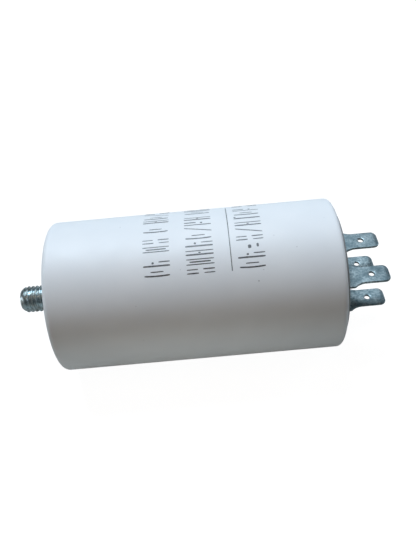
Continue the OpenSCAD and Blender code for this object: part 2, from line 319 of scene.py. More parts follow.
def mount(name: str) -> dict:
    """One of the record's mounts, by its name."""
    return next(entry for entry in frame["record"]["mounts"] if entry["name"] == name)


# ---------------------------------------------------------------------------
# Finishes
# ---------------------------------------------------------------------------


class Finish(Protocol):
    """A finish that can make its material."""

    name: str

    def build(self) -> bpy.types.Material:
        """Makes the material."""


@cache
def material_of(finish: Finish) -> bpy.types.Material:
    """Makes a finish's material once, however many pieces wear it."""
    return finish.build()


def dress(node: str, finish: Finish) -> None:
    """Gives a CAD node its finish.

    Args:
        node: The node's name.
        finish: Its finish.
    """
    target = frame["nodes"][node]
    target.data.materials.clear()
    target.data.materials.append(material_of(finish))
    LOG.info("%s: dressed with %s", node, finish.name)


@dataclass(frozen=True)
class MouldedPlastic:
    """Satin moulded plastic with a faint orange-peel skin and a few dust specks."""

    name: str
    light: Colour
    shade: Colour
    roughness: float = 0.42
    specks: float = 0.0
    dust: Colour = (0.12, 0.11, 0.12)
    drift_mm: float = 14.0
    handled_mm: float = 6.0
    wave_mm: float = 3.5
    speck_mm: float = 0.8
    peel_mm: float = 0.55

    def build(self) -> bpy.types.Material:
        """Makes the material.

        Returns:
            The material.
        """
        bench = ShaderBench(self.name)
        drift = bench.spread(bench.noise(self.drift_mm, detail=2.0), *NOISE_MIDDLE)
        colour = bench.blend(drift, self.shade, self.light)
        if self.specks > 0:
            grains = bench.noise(self.speck_mm, detail=0.0)
            specks = bench.spread(grains, low=0.885, high=0.91, to_high=self.specks)
            colour = bench.blend(specks, colour, self.dust)
        peel = bench.noise(self.peel_mm, detail=2.0)
        waves = bench.noise(self.wave_mm, detail=1.0)
        skin = bench.bump(peel, depth_mm=0.004, strength=0.5)
        normal = bench.bump(waves, depth_mm=0.02, strength=0.35, under=skin)
        gloss = bench.spread(bench.noise(self.handled_mm, detail=4.0), low=0.3, high=0.7,
                             to_low=self.roughness - 0.05, to_high=self.roughness + 0.06)
        return bench.finish(Base_Color=colour, Roughness=gloss, Normal=normal, IOR=1.48)


@dataclass(frozen=True)
class PlatedSheet:
    """Tin-plated sheet: mottled bright and dull patches, fine rolling lines and scuffs."""

    name: str
    bright: Colour
    dull: Colour
    roughness: float = 0.36
    patch_mm: float = 3.4
    mottle_mm: float = 0.7
    scuff_mm: float = 0.35
    rolling_mm: float = 0.12
    rolling_stretch: tuple[float, float, float] = (0.06, 1.0, 1.0)

    def build(self) -> bpy.types.Material:
        """Makes the material.

        Returns:
            The material.
        """
        bench = ShaderBench(self.name)
        mottle = bench.spread(bench.noise(self.mottle_mm, detail=5.0), low=0.30, high=0.72)
        patches = bench.spread(bench.noise(self.patch_mm, detail=2.0), low=0.30, high=0.62)
        colour = bench.blend(bench.times(mottle, patches), self.dull, self.bright)
        lines = bench.noise(self.rolling_mm, detail=2.0, where=bench.stretched(self.rolling_stretch))
        scuffs = bench.spread(bench.noise(self.scuff_mm, detail=6.0), low=0.45, high=0.75)
        rolled = bench.bump(lines, depth_mm=0.006, strength=0.5)
        normal = bench.bump(scuffs, depth_mm=0.012, strength=0.6, under=rolled)
        gloss = bench.spread(mottle, low=0.0, high=1.0, to_low=self.roughness + 0.14,
                             to_high=self.roughness - 0.06)
        return bench.finish(Base_Color=colour, Roughness=gloss, Normal=normal, Metallic=0.92)


@dataclass(frozen=True)
class PlatedSteel:
    """Bright zinc plating with a bluish cast and duller, yellowish patches."""

    name: str
    bright: Colour
    dull: Colour
    roughness: float = 0.24
    patch_mm: float = 1.8
    pit_mm: float = 0.3

    def build(self) -> bpy.types.Material:
        """Makes the material.

        Returns:
            The material.
        """
        bench = ShaderBench(self.name)
        patches = bench.spread(bench.noise(self.patch_mm, detail=4.0), low=0.4, high=0.66)
        colour = bench.blend(patches, self.bright, self.dull)
        pits = bench.noise(self.pit_mm, detail=3.0)
        normal = bench.bump(pits, depth_mm=0.006, strength=0.35)
        gloss = bench.spread(patches, low=0.0, high=1.0, to_low=self.roughness,
                             to_high=self.roughness + 0.16)
        return bench.finish(Base_Color=colour, Roughness=gloss, Normal=normal, Metallic=1.0)


@dataclass(frozen=True)
class Ink:
    """Thin stamped ink, patchy at random, with a painted sheen that lightens it towards the back of the
    can.
    """

    name: str
    full: Colour
    # thin is both the colour of thinly inked patches and the colour of the painted sheen; across Y between
    # the two places below, the ink is blended towards it.
    thin: Colour
    painted_sheen_from_y: float = -13.0 * MM
    painted_sheen_to_y: float = 9.0 * MM
    patch_mm: float = 0.5
    grain_mm: float = 0.3
    roughness: float = 0.45

    def build(self) -> bpy.types.Material:
        """Makes the material.

        Returns:
            The material.
        """
        bench = ShaderBench(self.name)
        across = bench.node("ShaderNodeSeparateXYZ", Vector=bench.place).outputs["Y"]
        # Painted sheen: the ink grows lighter towards +Y, where glare falls, up to three quarters of the
        # way to its thin colour.
        rising_share = bench.spread(across, self.painted_sheen_from_y, self.painted_sheen_to_y, to_high=0.75)
        patchy = bench.spread(bench.noise(self.patch_mm, detail=4.0), low=0.35, high=0.75, to_high=0.45)
        colour = bench.blend(rising_share, bench.blend(patchy, self.full, self.thin), self.thin)
        normal = bench.bump(bench.noise(self.grain_mm, detail=3.0), depth_mm=0.003, strength=0.5)
        return bench.finish(Base_Color=colour, Roughness=self.roughness, Normal=normal)


@dataclass(frozen=True)
class PlainMetal:
    """Soft metal of the sealed-in pieces: solder, sprayed zinc, lugs and wire."""

    name: str
    bright: Colour
    dull: Colour
    roughness: float
    grain_mm: float
    depth_mm: float

    def build(self) -> bpy.types.Material:
        """Makes the material.

        Returns:
            The material.
        """
        bench = ShaderBench(self.name)
        grain = bench.noise(self.grain_mm, detail=5.0)
        colour = bench.blend(bench.spread(grain, *NOISE_MIDDLE), self.dull, self.bright)
        normal = bench.bump(grain, self.depth_mm)
        return bench.finish(Base_Color=colour, Roughness=self.roughness, Normal=normal, Metallic=0.95)


@dataclass(frozen=True)
class WoundFilm:
    """Edges and turns of thin film: fine rings along the axis."""

    name: str
    light: Colour
    shade: Colour
    metallic: float
    turn_mm: float = 0.25
    turn_stretch: tuple[float, float, float] = (0.02, 1.0, 1.0)
    roughness: float = 0.3

    def build(self) -> bpy.types.Material:
        """Makes the material.

        Returns:
            The material.
        """
        bench = ShaderBench(self.name)
        turns = bench.noise(self.turn_mm, detail=2.0, where=bench.stretched(self.turn_stretch))
        colour = bench.blend(bench.spread(turns, *NOISE_MIDDLE), self.shade, self.light)
        normal = bench.bump(turns, depth_mm=0.01, strength=0.6)
        return bench.finish(Base_Color=colour, Roughness=self.roughness, Normal=normal,
                            Metallic=self.metallic)


# ---------------------------------------------------------------------------
# Stud
# ---------------------------------------------------------------------------


@dataclass
class ThreadedStud:
    """The bolt with its rolled thread, which stands for the plain CAD bar."""

    finish: Finish
    pitch: float = 1.25 * MM
    depth: float = 0.55 * MM
    tip_length: float = 1.7 * MM
    tip_inset: float = 1.0 * MM
    tip_fullness: float = 0.9
    root_share: float = 0.05
    flank_share: float = 0.85
    run_out_turns: float = 0.6
    neck_radius: float = 3.6 * MM
    neck_length: float = 0.4 * MM
    head_start: float = 1.5 * MM
    head_bevel: float = 0.7 * MM
    head_top_share: float = 0.87
    head_sides: int = 6
    around: int = 80
    step: float = 0.08 * MM
    tip_x: float = field(init=False)
    head_end: float = field(init=False)
    head_radius: float = field(init=False)
    radius: float = field(init=False)

    def __post_init__(self) -> None:
        """Takes the bolt's outer sizes from its CAD node and its mount."""
        low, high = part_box("mounting_stud")
        self.tip_x = low.x
        self.head_end = high.x
        self.head_radius = high.z
        self.radius = mount("mounting_stud")["dims"]["r_mm"] * MM

    def crest(self, phase: float) -> float:
        """Height of the thread, with a rounded root and a rounded crest.

        Args:
            phase: Place within a turn, from 0 to 1.

        Returns:
            The height as a share of the thread's depth.
        """
        ramp = 1.0 - abs(2.0 * phase - 1.0)
        rising_share = min(1.0, max(0.0, (ramp - self.root_share) / self.flank_share))
        return rising_share * rising_share * (3.0 - 2.0 * rising_share)

    def radius_at(self, x: float, angle: float) -> float:
        """Radius of the threaded bar at a place along it and round it.

        Args:
            x: Place along the axis.
            angle: Angle round the axis.

        Returns:
            The radius in metres.
        """
        phase = (x / self.pitch + angle / math.tau) % 1.0
        threaded = self.radius - self.depth * (1.0 - self.crest(phase))
        from_tip = min(1.0, (x - self.tip_x) / self.tip_length)
        nose = self.radius - self.tip_inset * (1.0 - math.sin(math.pi / 2 * from_tip)) ** self.tip_fullness
        run_out = min(1.0, max(0.0, (-self.neck_length - x) / (self.run_out_turns * self.pitch)))
        return min(nose, self.neck_radius + (threaded - self.neck_radius) * run_out)

    def shank(self, bench: MeshBench) -> None:
        """Adds the threaded bar with its nose and its plain neck.

        Args:
            bench: Where the faces go.
        """
        length = -self.neck_length - self.tip_x
        steps = round(length / self.step)
        angles = [math.tau * k / self.around for k in range(self.around)]
        rows = []
        for i in range(steps + 1):
            x = self.tip_x + length * i / steps
            rows.append([round_point(x, self.radius_at(x, angle), angle) for angle in angles])
        rows.append([round_point(self.head_start, self.neck_radius, angle) for angle in angles])
        bench.sheet(rows, wrap=True)
        bench.cap(rows[0])
        bench.cap(rows[-1])

    def head(self, bench: MeshBench) -> None:
        """Adds the hex head that sits inside the base.

        Args:
            bench: Where the faces go.
        """
        stations = (
            (self.head_start, 1.0),
            (self.head_end - self.head_bevel, 1.0),
            (self.head_end, self.head_top_share),
        )
        angles = [math.tau * side / self.head_sides for side in range(self.head_sides)]
        rows = [[round_point(x, self.head_radius * share, angle) for angle in angles]
                for x, share in stations]
        bench.sheet(rows, wrap=True)
        bench.cap(rows[0])
        bench.cap(rows[-1])

    def build(self) -> bpy.types.Object:
        """Builds the bolt.

        Returns:
            The piece that stands for the CAD bolt.
        """
        bench = MeshBench()
        self.shank(bench)
        self.head(bench)
        piece = bench.piece("stud_thread", material_of(self.finish), smooth_deg=62.0)
        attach(piece, BODY)
        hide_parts("mounting_stud")
        LOG.info("stud_thread: %.2f mm pitch over %.1f mm", self.pitch / MM, -self.tip_x / MM)
        return piece


# ---------------------------------------------------------------------------
# Terminals
# ---------------------------------------------------------------------------


@dataclass(frozen=True)
class Rim:
    """Edge of a stamped sheet: steps of (distance in from the outline, share of half the thickness)."""

    steps: tuple[tuple[float, float], ...]

    @classmethod
    def mirrored(cls, outer: list[tuple[float, float]]) -> "Rim":
        """Makes an edge whose inner half mirrors the steps of its outer half."""
        return cls(tuple(outer) + tuple((distance, -share) for distance, share in reversed(outer)))

    @property
    def inset(self) -> float:
        """Distance from the outline to where the flat face starts."""
        return self.steps[0][0]


@dataclass
class TwinTab:
    """Two blades folded up from one strip, with rolled edges, bevelled tips and coined detent holes."""

    node: str
    finish: Finish
    thickness: float = 0.8 * MM
    blade_width: float = 6.3 * MM
    root_height: float = 3.2 * MM
    shoulder_radius: float = 4.8 * MM
    fold_radius: float = 0.8 * MM
    tip_radius: float = 1.8 * MM
    tip_bevel: float = 1.2 * MM
    tip_bevel_depth: float = 0.22 * MM
    tip_bevel_ease: float = 0.6
    detent_radius: float = 0.85 * MM
    detent_from_tip: float = 5.2 * MM
    coin_width: float = 0.20 * MM
    coin_depth: float = 0.07 * MM
    coin_sink: float = 0.024 * MM
    coin_profile: tuple[tuple[float, float], ...] = ((1.15, 0.0), (0.95, 0.1), (0.15, 0.88))
    rivet_hole_radius: float = 2.05 * MM
    roll: float = 0.27 * MM
    roll_steps: int = 4
    flat_steps: int = 10
    fold_steps: int = 12
    tip_steps: int = 9
    tip_flat_steps: int = 3
    crowded_steps: int = 6
    hole_steps: int = 40
    grid: float = 0.42 * MM
    blade_density: float = 1.2
    margin_share: float = 0.6
    face_x: float = field(init=False)
    tip_x: float = field(init=False)
    middle_y: float = field(init=False)
    strip_width: float = field(init=False)
    blade_z: float = field(init=False)

    def __post_init__(self) -> None:
        """Takes the tab's place and outer sizes from its CAD node."""
        low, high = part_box(self.node)
        self.face_x = low.x
        self.tip_x = high.x
        self.middle_y = (low.y + high.y) / 2
        self.strip_width = high.y - low.y
        self.blade_z = high.z - self.thickness / 2

    # -- the flat blank: "along" runs from the strip's middle to a tip, "across" over its width

    @property
    def bend(self) -> float:
        """Bend radius on the middle of the sheet."""
        return self.fold_radius + self.thickness / 2

    @property
    def flat_end(self) -> float:
        """Where the first fold starts, along the blank."""
        return self.blade_z - self.bend

    @property
    def fold_end(self) -> float:
        """Where the fold ends and the blade starts, along the blank."""
        return self.flat_end + self.bend * math.pi / 2

    @property
    def blank_end(self) -> float:
        """Where the tip is, along the blank."""
        return self.fold_end + self.tip_x - self.face_x - self.thickness / 2 - self.bend

    def height_at(self, along: float) -> float:
        """Height of a place on a blade above the strip's lower face."""
        return self.thickness / 2 + self.bend + abs(along) - self.fold_end

    def half_width(self, along: float) -> float:
        """Half the width of the blank at a place along it.

        Args:
            along: Distance from the strip's middle.

        Returns:
            Half the width in metres.
        """
        wide, narrow = self.strip_width / 2, self.blade_width / 2
        height = self.height_at(along)
        tip_height = self.tip_x - self.face_x
        sweep_width = wide - narrow
        sweep_end = self.root_height + math.sqrt(sweep_width * (2 * self.shoulder_radius - sweep_width))
        if height <= self.root_height:
            return wide
        if height < sweep_end:
            drop = sweep_end - height
            return narrow + self.shoulder_radius - math.sqrt(self.shoulder_radius**2 - drop**2)
        over = height - (tip_height - self.tip_radius)
        if over > 0:
            return narrow - self.tip_radius + math.sqrt(max(0.0, self.tip_radius**2 - over**2))
        return narrow

    def stations(self) -> list[float]:
        """Places along half of the blank where its outline has points, closer in the fold and at the tip.

        Returns:
            The places, from the strip's middle to the tip.
        """
        fold, tip_start = self.fold_end - self.flat_end, self.blank_end - self.tip_radius
        count = round((tip_start - self.fold_end) / self.grid * self.blade_density)
        turns = [math.pi / 2 * k / self.tip_steps for k in range(self.tip_steps + 1)]
        places = [self.flat_end * k / self.flat_steps for k in range(self.flat_steps)]
        places += [self.flat_end + fold * k / self.fold_steps for k in range(self.fold_steps)]
        places += [self.fold_end + (tip_start - self.fold_end) * k / count for k in range(count)]
        places += [tip_start + self.tip_radius * math.sin(turn) for turn in turns]
        return places

    def outline(self) -> list[Vector]:
        """Outline of the blank, anticlockwise.

        Returns:
            Points as (along, across).
        """
        half = self.stations()
        side = [-place for place in reversed(half[1:])] + half
        lower = [Vector((place, -self.half_width(place))) for place in side]
        upper = [Vector((place, self.half_width(place))) for place in reversed(side)]
        flat_tip = self.half_width(self.blank_end)
        steps = self.tip_flat_steps
        ends = [flat_tip * k / steps for k in range(1 - steps, steps)]
        right = [Vector((self.blank_end, across)) for across in ends]
        left = [Vector((-self.blank_end, -across)) for across in ends]
        return lower + right + upper + left

    def hole(self, along: float, radius: float) -> list[Vector]:
        """Outline of a round hole, clockwise, so that its inside is off the sheet."""
        turns = [-math.tau * k / self.hole_steps for k in range(self.hole_steps)]
        return [Vector((along + radius * math.cos(turn), radius * math.sin(turn))) for turn in turns]

    def inset_loop(self, loop: list[Vector], distance: float) -> list[Vector]:
        """Moves a loop's points into the sheet.

        Args:
            loop: Points of the loop, with the sheet on their left.
            distance: How far in they go.

        Returns:
            The moved points.
        """
        moved = []
        for i, here in enumerate(loop):
            way = loop[(i + 1) % len(loop)] - loop[i - 1]
            inwards = Vector((-way.y, way.x)).normalized()
            moved.append(here + inwards * distance)
        return moved

    def encloses(self, loop: list[Vector], point: Vector) -> bool:
        """Tells whether a loop goes round a point.

        Args:
            loop: The loop's points.
            point: The point.

        Returns:
            True when the point is inside the loop.
        """
        inside = False
        for i, here in enumerate(loop):
            last = loop[i - 1]
            if (here.y > point.y) != (last.y > point.y):
                crossing = here.x + (last.x - here.x) * (point.y - here.y) / (last.y - here.y)
                inside ^= point.x < crossing
        return inside

    def folded(self, along: float, across: float, lift: float) -> Vector:
        """Folds a place on the blank up into the finished tab.

        Args:
            along: Place along the blank.
            across: Place over its width.
            lift: Height over the sheet's middle, outwards.

        Returns:
            The place in the part's coordinates.
        """
        side = math.copysign(1.0, along)
        far = abs(along)
        corner_x = self.face_x + self.thickness / 2 + self.bend
        if far <= self.flat_end:
            x, z = corner_x - self.bend - lift, far
        elif far < self.fold_end:
            turn = (far - self.flat_end) / self.bend
            x = corner_x - (self.bend + lift) * math.cos(turn)
            z = self.flat_end + (self.bend + lift) * math.sin(turn)
        else:
            x, z = corner_x + far - self.fold_end, self.blade_z + lift
        return Vector((x, self.middle_y + across, side * z))

    def lift_at(self, along: float, share: float) -> float:
        """Height over the sheet's middle of a place near its surface.

        Args:
            along: Place along the blank.
            share: Share of half the thickness, from -1 to 1.

        Returns:
            The height, less near the bevelled tip.
        """
        from_bevel = max(0.0, abs(along) - (self.blank_end - self.tip_bevel)) / self.tip_bevel
        eased = from_bevel * from_bevel * (1 + self.tip_bevel_ease - self.tip_bevel_ease * from_bevel)
        return share * (self.thickness / 2 - self.tip_bevel_depth * eased)

    def filling(self, keep_off: list[tuple[float, float]]) -> list[Vector]:
        """Spreads points over the flat face, clear of its edges.

        Args:
            keep_off: Middle and radius of each hole.

        Returns:
            Points as (along, across).
        """
        margin = self.grid * self.margin_share
        # The last stations crowd together at the tip, so the filling stops short of them.
        half = sorted({round(place, WELD_DIGITS) for place in self.stations()[:-self.crowded_steps]})
        points = []
        for place in [-place for place in reversed(half[1:])] + half:
            room = self.half_width(place) - self.roll - margin
            count = max(1, math.ceil(2 * room / self.grid))
            for k in range(count + 1):
                across = -room + 2 * room * k / count
                if all(math.hypot(place - middle, across) > radius + margin for middle, radius in keep_off):
                    points.append(Vector((place, across)))
        return points

    def in_hole(self, corners: list[Vector], keep_off: list[tuple[float, float]]) -> bool:
        """Tells whether a triangle lies in one of the holes, given as (middle, radius)."""
        return any(all(math.hypot(corner.x - middle, corner.y) < radius + WELD for corner in corners)
                   for middle, radius in keep_off)

    def face(self, bench: MeshBench, loops: list[list[Vector]], keep_off: list[tuple[float, float]],
             share: float) -> None:
        """Fills one face of the sheet between its loops.

        Args:
            bench: Where the faces go.
            loops: Outline and holes where the flat face starts.
            keep_off: Middle and radius of each hole.
            share: 1 for the outer face, -1 for the inner one.
        """
        points = [point for loop in loops for point in loop]
        edges, first = [], 0
        for loop in loops:
            edges += [(first + i, first + (i + 1) % len(loop)) for i in range(len(loop))]
            first += len(loop)
        points += self.filling(keep_off)
        flat, _, triangles, *_ = delaunay_2d_cdt(points, edges, [], 0, FILL_WELD)
        numbers = [bench.add(self.folded(p.x, p.y, self.lift_at(p.x, share))) for p in flat]
        for triangle in triangles:
            corners = [flat[i] for i in triangle]
            middle = sum(corners, Vector((0.0, 0.0))) / 3
            spans_outline = max(triangle) < len(loops[0])
            if self.in_hole(corners, keep_off) or (spans_outline and not self.encloses(loops[0], middle)):
                continue
            bench.faces.append(tuple(numbers[i] for i in (triangle if share > 0 else triangle[::-1])))

    def rim(self, bench: MeshBench, loop: list[Vector], edge: Rim) -> None:
        """Runs the sheet's edge round a loop.

        Args:
            bench: Where the faces go.
            loop: The loop's points.
            edge: The edge's steps from the outer face to the inner one.
        """
        rows = []
        for distance, share in edge.steps:
            ring = self.inset_loop(loop, distance)
            rows.append([self.folded(p.x, p.y, self.lift_at(p.x, share)) for p in ring])
        bench.sheet(rows, wrap=True)

    def rolled_edge(self) -> Rim:
        """Edge of the outline, rolled over by the punch.

        Returns:
            The edge.
        """
        half = self.thickness / 2
        turns = [math.pi / 2 * k / self.roll_steps for k in range(self.roll_steps + 1)]
        return Rim.mirrored([(self.roll * (1 - math.sin(turn)), 1 - self.roll * (1 - math.cos(turn)) / half)
                             for turn in turns])

    def coined_edge(self) -> Rim:
        """Edge of a detent hole, with its coined bevel on both faces.

        Returns:
            The edge.
        """
        half = self.thickness / 2
        outer = [(self.coin_width * across, 1 - self.coin_depth / half * down)
                 for across, down in self.coin_profile]
        outer.append((0.0, 1 - (self.coin_depth + self.coin_sink) / half))
        return Rim.mirrored(outer)

    def build(self) -> bpy.types.Object:
        """Builds the tab.

        Returns:
            The piece that stands for the CAD tab.
        """
        bench = MeshBench()
        plain = Rim(((0.0, 1.0), (0.0, -1.0)))
        detent_at = self.blank_end - self.detent_from_tip
        cuts = [
            (self.outline(), self.rolled_edge()),
            (self.hole(detent_at, self.detent_radius), self.coined_edge()),
            (self.hole(-detent_at, self.detent_radius), self.coined_edge()),
            (self.hole(0.0, self.rivet_hole_radius), plain),
        ]
        detent_room = self.detent_radius + self.coined_edge().inset
        keep_off = [(detent_at, detent_room), (-detent_at, detent_room), (0.0, self.rivet_hole_radius)]
        loops = [self.inset_loop(loop, edge.inset) for loop, edge in cuts]
        for share in (1.0, -1.0):
            self.face(bench, loops, keep_off, share)
        for loop, edge in cuts:
            self.rim(bench, loop, edge)
        piece = bench.piece(f"{self.node}_sheet", material_of(self.finish), smooth_deg=50.0)
        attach(piece, BODY)
        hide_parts(self.node)
        LOG.info("%s_sheet: %d faces", self.node, len(piece.data.polygons))
        return piece


# ---------------------------------------------------------------------------
# Can
# ---------------------------------------------------------------------------


@dataclass
class MouthFlash:
    """Ragged sliver of moulding flash round the inner edge of the can's mouth."""

    finish: Finish
    mouth_radius: float = 20.7 * MM
    least: float = 0.03 * MM
    most: float = 0.42 * MM
    thickness: float = 0.12 * MM
    rounding: float = 0.02 * MM
    overlap: float = 0.05 * MM
    bits: int = 34
    bit_reach: tuple[int, int] = (2, 9)
    bit_height: tuple[float, float] = (0.25, 1.0)
    ragged: tuple[float, float] = (0.6, 1.0)
    around: int = 420
    seed: int = 11
    lip_x: float = field(init=False)

    def __post_init__(self) -> None:
        """Takes the lip's place from the can's CAD node."""
        self.lip_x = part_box("case")[1].x

    def widths(self) -> list[float]:
        """Width of the sliver round the mouth: mostly thin, with torn bits.

        Returns:
            One width for each step round the mouth.
        """
        rng = random.Random(self.seed)
        torn = [0.0] * self.around
        for _ in range(self.bits):
            middle = rng.randrange(self.around)
            reach = rng.randint(*self.bit_reach)
            height = rng.uniform(*self.bit_height)
            for k in range(-reach, reach + 1):
                place = (middle + k) % self.around
                share = height * (1 - abs(k) / (reach + 1)) * rng.uniform(*self.ragged)
                torn[place] = max(torn[place], share)
        return [self.least + (self.most - self.least) * share for share in torn]

    def section(self) -> tuple[tuple[float, float], ...]:
        """Section of the sliver, from the mouth's edge round to the wall again.

        Returns:
            Points as (depth below the lip, share of the sliver's width).
        """
        return (
            (self.rounding, 0.0),
            (0.0, 0.35),
            (0.0, 1.0),
            (self.thickness * 0.5, 1.08),
            (self.thickness, 0.9),
            (self.thickness * 1.4, 0.0),
        )

    def build(self) -> bpy.types.Object:
        """Builds the sliver.

        Returns:
            The piece of flash.
        """
        bench = MeshBench()
        widths = self.widths()
        wall_radius = self.mouth_radius + self.overlap
        rows = []
        for k, width in enumerate(widths + widths[:1]):
            angle = math.tau * k / self.around
            rows.append([round_point(self.lip_x - down, wall_radius - width * share, angle)
                         for down, share in self.section()])
        bench.sheet(rows, wrap=True)
        piece = bench.piece("mouth_flash", material_of(self.finish))
        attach(piece, BODY)
        LOG.info("mouth_flash: %d steps round the mouth", self.around)
        return piece


# ---------------------------------------------------------------------------
# Printed marks
# ---------------------------------------------------------------------------


@dataclass(frozen=True)
class Stroke:
    """One stroke of ink in a mark, as shares of the mark's height and width."""

    foot: float
    head: float
    side: float
    weight: float = 1.0
    lean: float = 0.0
    bow: float = 0.0


class Mark(Enum):
    """Plain marks that fill a row of print; none is a letter or a figure."""

    TWIN = (Stroke(0.0, 1.0, -0.42, 1.2), Stroke(0.0, 1.0, 0.42, 0.75), Stroke(0.46, 0.54, 0.0, 1.0))
    BAR = (Stroke(0.0, 1.0, 0.0, 1.3), Stroke(0.0, 0.08, 0.5, 1.2))
    STEP = (Stroke(0.0, 1.0, -0.45, 0.9), Stroke(0.0, 0.44, 0.40, 1.2), Stroke(0.60, 0.68, 0.2, 1.6))
    DROP = (Stroke(0.0, 1.0, -0.45, 1.3), Stroke(0.58, 1.0, 0.40, 0.9), Stroke(0.32, 0.40, 0.2, 1.6))
    SPLIT = (Stroke(0.0, 0.42, -0.4, 1.0), Stroke(0.58, 1.0, 0.4, 1.0), Stroke(0.0, 0.40, 0.38, 0.8),
             Stroke(0.62, 1.0, -0.38, 0.8))
    SLANT = (Stroke(0.0, 1.0, 0.0, 0.85, 0.6),)
    DASH = (Stroke(0.40, 0.52, -0.1, 3.0), Stroke(0.72, 0.80, 0.1, 3.0))
    TRIO = (Stroke(0.0, 1.0, -0.55, 0.8), Stroke(0.12, 0.88, 0.0, 1.1), Stroke(0.0, 1.0, 0.55, 0.8))
    BOW = (Stroke(0.03, 0.97, -0.46, 1.15, 0.0, -0.12), Stroke(0.26, 0.74, 0.30, 0.85))
    SPACE = ()


@dataclass(frozen=True)
class PrintRow:
    """One row of marks round the can, from its lower end upwards."""

    foot_x: float
    head_x: float
    start_deg: float
    marks: tuple[Mark, ...]


MARK_SIGNS = {
    "=": Mark.TWIN,
    "|": Mark.BAR,
    "L": Mark.STEP,
    "T": Mark.DROP,
    "S": Mark.SPLIT,
    "/": Mark.SLANT,
    "-": Mark.DASH,
    "#": Mark.TRIO,
    ")": Mark.BOW,
    " ": Mark.SPACE,
}


def marks(pattern: str) -> tuple[Mark, ...]:
    """Lays out a row of marks, from one sign of MARK_SIGNS for each."""
    return tuple(MARK_SIGNS[sign] for sign in pattern)


@dataclass
class PrintedMarks:
    """Rows of plain ink strokes and a thin rule on the can's side."""

    ink: Finish
    rows: tuple[PrintRow, ...]
    rule_x: float
    rule_width: float = 0.24 * MM
    rule_start_deg: float = 55.0
    rule_end_deg: float = 121.0
    cell: float = 2.65 * MM
    space: float = 1.7 * MM
    stroke: float = 0.36 * MM
    stroke_step: float = 0.55 * MM
    worn_end: float = 0.72
    uneven: tuple[float, float] = (0.92, 1.08)
    rule_steps: int = 60
    lift: float = 0.012 * MM
    bite: float = 0.02 * MM
    seed: int = 7
    can_radius: float = field(init=False)

    def __post_init__(self) -> None:
        """Takes the can's radius from its CAD node."""
        self.can_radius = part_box("case")[1].z

    def slab(self, bench: MeshBench, sections: list[tuple[float, list[float]]]) -> None:
        """Lays a closed film of ink on the can, with its underside just in the plastic.

        Args:
            bench: Where the film goes.
            sections: Places along the can, each with its arcs from one edge of the film to the other.
        """
        rows = []
        for x, arcs in sections:
            upper = [round_point(x, self.can_radius + self.lift, arc / self.can_radius) for arc in arcs]
            # Along the can's top the ink stays level with it, so the part grows no taller.
            for point in upper:
                point.z = min(point.z, self.can_radius)
            under = [round_point(x, self.can_radius - self.bite, arc / self.can_radius) for arc in arcs]
            rows.append(upper + under[::-1])
        bench.sheet(rows, wrap=True)
        bench.cap(rows[0])
        bench.cap(rows[-1])

    def patch(self, bench: MeshBench, row: PrintRow, middle: float, stroke: Stroke,
              rng: random.Random) -> None:
        """Lays one stroke of ink, with slightly uneven edges.

        Args:
            bench: Where the stroke goes.
            row: The row that it stands in.
            middle: Middle of its mark, as a length of arc round the can.
            stroke: The stroke.
            rng: Source of the unevenness.
        """
        height = row.head_x - row.foot_x
        steps = max(3, round(height * (stroke.head - stroke.foot) / self.stroke_step))
        sections = []
        for k in range(steps + 1):
            share = k / steps
            x = row.foot_x + height * (stroke.foot + (stroke.head - stroke.foot) * share)
            shift = stroke.side + stroke.lean * (1 - 2 * share) + stroke.bow * math.sin(math.pi * share)
            arc = middle + shift * self.cell / 2
            fullness = self.worn_end if k in (0, steps) else rng.uniform(*self.uneven)
            half = self.stroke * stroke.weight / 2 * fullness
            sections.append((x, [arc - half, arc, arc + half]))
        self.slab(bench, sections)

    def stamp(self, bench: MeshBench, row: PrintRow, rng: random.Random) -> None:
        """Stamps one row of marks.

        Args:
            bench: Where the strokes go.
            row: The row.
            rng: Source of the small unevenness of a stamp.
        """
        arc = math.radians(row.start_deg) * self.can_radius
        for mark in row.marks:
            advance = self.space if mark is Mark.SPACE else self.cell
            for stroke in mark.value:
                self.patch(bench, row, arc + advance / 2, stroke, rng)
            arc += advance

    def rule(self, bench: MeshBench) -> None:
        """Draws the thin rule between the first two rows.

        Args:
            bench: Where the rule goes.
        """
        start = math.radians(self.rule_start_deg) * self.can_radius
        end = math.radians(self.rule_end_deg) * self.can_radius
        arcs = [start + (end - start) * k / self.rule_steps for k in range(self.rule_steps + 1)]
        self.slab(bench, [(self.rule_x + side * self.rule_width / 2, arcs) for side in (-1, 1)])

    def build(self) -> bpy.types.Object:
        """Stamps all the rows and the rule as one thin piece of ink.

        Returns:
            The piece of ink.
        """
        bench = MeshBench()
        rng = random.Random(self.seed)
        for row in self.rows:
            self.stamp(bench, row, rng)
        self.rule(bench)
        piece = bench.piece("printed_marks", material_of(self.ink))
        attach(piece, BODY)
        LOG.info("printed_marks: %d rows and a rule", len(self.rows))
        return piece


# ---------------------------------------------------------------------------
# Studio
# ---------------------------------------------------------------------------


@dataclass(frozen=True)
class Panel:
    """A soft panel light that faces the can."""

    name: str
    angle_deg: float
    side_deg: float
    far: float
    size: tuple[float, float]
    power: float
    colour: Colour

    def hang(self, middle: Vector) -> None:
        """Hangs the panel.

        Its angle runs from the front (-Y) up over the top (+Z), and its side angle runs towards
        the terminals (+X).

        Args:
            middle: What the panel faces.
        """
        data = bpy.data.lights.new(self.name, "AREA")
        data.shape = "RECTANGLE"
        data.size, data.size_y = self.size
        data.energy = self.power
        data.color = self.colour
        light = bpy.data.objects.new(self.name, data)
        angle, side = math.radians(self.angle_deg), math.radians(self.side_deg)
        way = Vector((math.sin(side), -math.cos(angle) * math.cos(side), math.sin(angle) * math.cos(side)))
        light.location = middle + way * self.far
        light.rotation_euler = (-way).to_track_quat("-Z", "Y").to_euler()
        bpy.context.scene.collection.objects.link(light)
        LOG.info("%s: hung at %.2f m", self.name, self.far)


